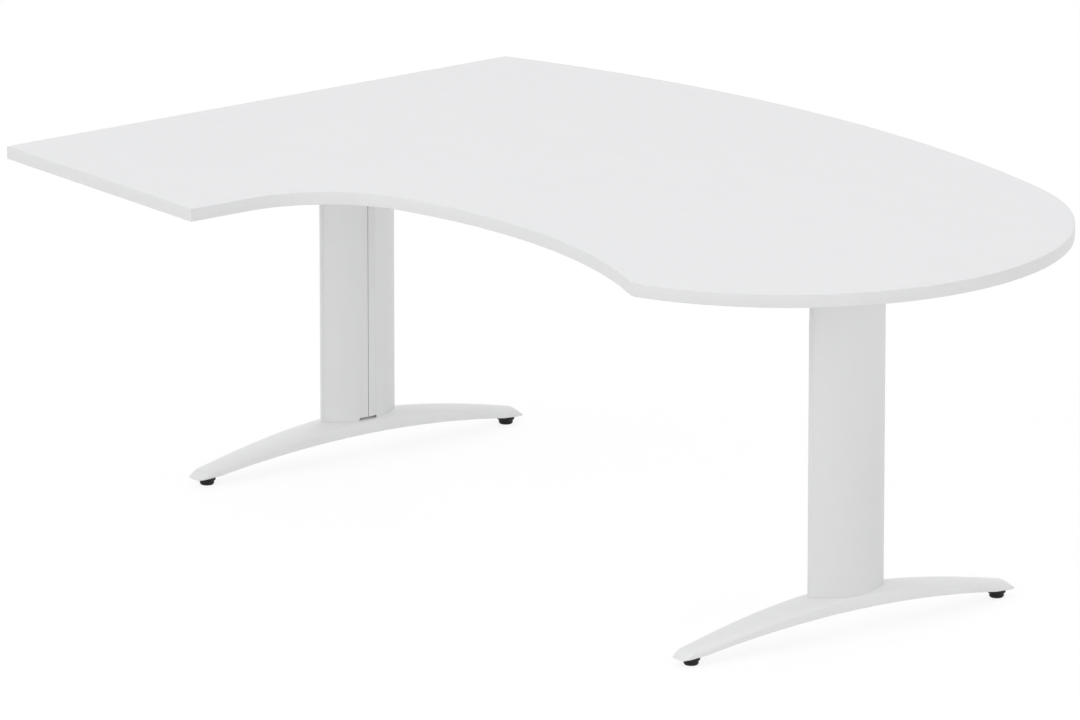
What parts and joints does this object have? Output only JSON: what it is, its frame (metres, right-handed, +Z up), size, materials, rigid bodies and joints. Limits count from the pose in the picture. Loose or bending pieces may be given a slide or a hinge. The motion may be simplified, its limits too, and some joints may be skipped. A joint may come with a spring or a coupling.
{
  "type": "compact office desk",
  "caption": "Compact office desk with a wave-shaped top, a straight return end and a round end, on T-legs with lens-section columns, arched feet, a crossbeam and levelling glides.",
  "frame": {"origin": "on the floor, under the middle of the desktop's bounding box", "axes": "+X along the desk from the return end to the round end, +Y away from the user towards the back edge, +Z up"},
  "size_m": [1.8699, 1.3999, 0.724],
  "materials": {
    "board_melamine": "white melamine, fine satin grain",
    "edge_abs": "white ABS edging, satin",
    "painted_steel": "white powder coat, fine orange peel",
    "zinc_steel": "bright zinc plate",
    "black_nylon": "black moulded nylon",
    "grey_nylon": "grey moulded nylon"
  },
  "bodies": {
    "desk_frame": {"desktop_board": "board_melamine", "edge_band_front": "edge_abs", "edge_band_left": "edge_abs", "edge_band_wave": "edge_abs", "crossbeam": "painted_steel", "left_foot": "painted_steel", "left_column_shell": "painted_steel", "left_base_plate": "zinc_steel", "left_top_plate": "painted_steel", "left_support_arm": "painted_steel", "left_beam_bracket": "painted_steel", "left_cover_clip_lower": "grey_nylon", "left_cover_clip_upper": "grey_nylon", "left_foot_bolt_front": "zinc_steel", "left_foot_bolt_rear": "zinc_steel", "left_arm_bolt_front": "zinc_steel", "left_arm_bolt_rear": "zinc_steel", "left_glide_insert_front": "black_nylon", "left_glide_insert_rear": "black_nylon", "left_top_screw_1": "zinc_steel", "left_top_screw_2": "zinc_steel", "left_top_screw_3": "zinc_steel", "left_top_screw_4": "zinc_steel", "left_beam_screw_1": "zinc_steel", "left_beam_screw_2": "zinc_steel", "right_foot": "painted_steel", "right_column_shell": "painted_steel", "right_base_plate": "zinc_steel", "right_top_plate": "painted_steel", "right_support_arm": "painted_steel", "right_beam_bracket": "painted_steel", "right_cover_clip_lower": "grey_nylon", "right_cover_clip_upper": "grey_nylon", "right_foot_bolt_front": "zinc_steel", "right_foot_bolt_rear": "zinc_steel", "right_arm_bolt_front": "zinc_steel", "right_arm_bolt_rear": "zinc_steel", "right_glide_insert_front": "black_nylon", "right_glide_insert_rear": "black_nylon", "right_top_screw_1": "zinc_steel", "right_top_screw_2": "zinc_steel", "right_top_screw_3": "zinc_steel", "right_top_screw_4": "zinc_steel", "right_beam_screw_1": "zinc_steel", "right_beam_screw_2": "zinc_steel"},
    "left_front_glide": {"left_glide_front": "black_nylon"},
    "left_rear_glide": {"left_glide_rear": "black_nylon"},
    "right_front_glide": {"right_glide_front": "black_nylon"},
    "right_rear_glide": {"right_glide_rear": "black_nylon"},
    "left_front_cover": {"left_cover_front": "painted_steel"},
    "left_rear_cover": {"left_cover_rear": "painted_steel"},
    "right_front_cover": {"right_cover_front": "painted_steel"},
    "right_rear_cover": {"right_cover_rear": "painted_steel"}
  },
  "joints": [
    {"name": "left_front_glide_travel", "type": "slide", "parent": "desk_frame", "child": "left_front_glide", "axis": [0, 0, -1], "range_m": [0, 0.008]},
    {"name": "left_rear_glide_travel", "type": "slide", "parent": "desk_frame", "child": "left_rear_glide", "axis": [0, 0, -1], "range_m": [0, 0.008]},
    {"name": "right_front_glide_travel", "type": "slide", "parent": "desk_frame", "child": "right_front_glide", "axis": [0, 0, -1], "range_m": [0, 0.008]},
    {"name": "right_rear_glide_travel", "type": "slide", "parent": "desk_frame", "child": "right_rear_glide", "axis": [0, 0, -1], "range_m": [0, 0.008]},
    {"name": "left_front_cover_pull", "type": "slide", "parent": "desk_frame", "child": "left_front_cover", "axis": [1, 0, 0], "range_m": [0, 0.06]},
    {"name": "left_rear_cover_pull", "type": "slide", "parent": "desk_frame", "child": "left_rear_cover", "axis": [1, 0, 0], "range_m": [0, 0.06]},
    {"name": "right_front_cover_pull", "type": "slide", "parent": "desk_frame", "child": "right_front_cover", "axis": [-1, 0, 0], "range_m": [0, 0.06]},
    {"name": "right_rear_cover_pull", "type": "slide", "parent": "desk_frame", "child": "right_rear_cover", "axis": [-1, 0, 0], "range_m": [0, 0.06]}
  ]
}
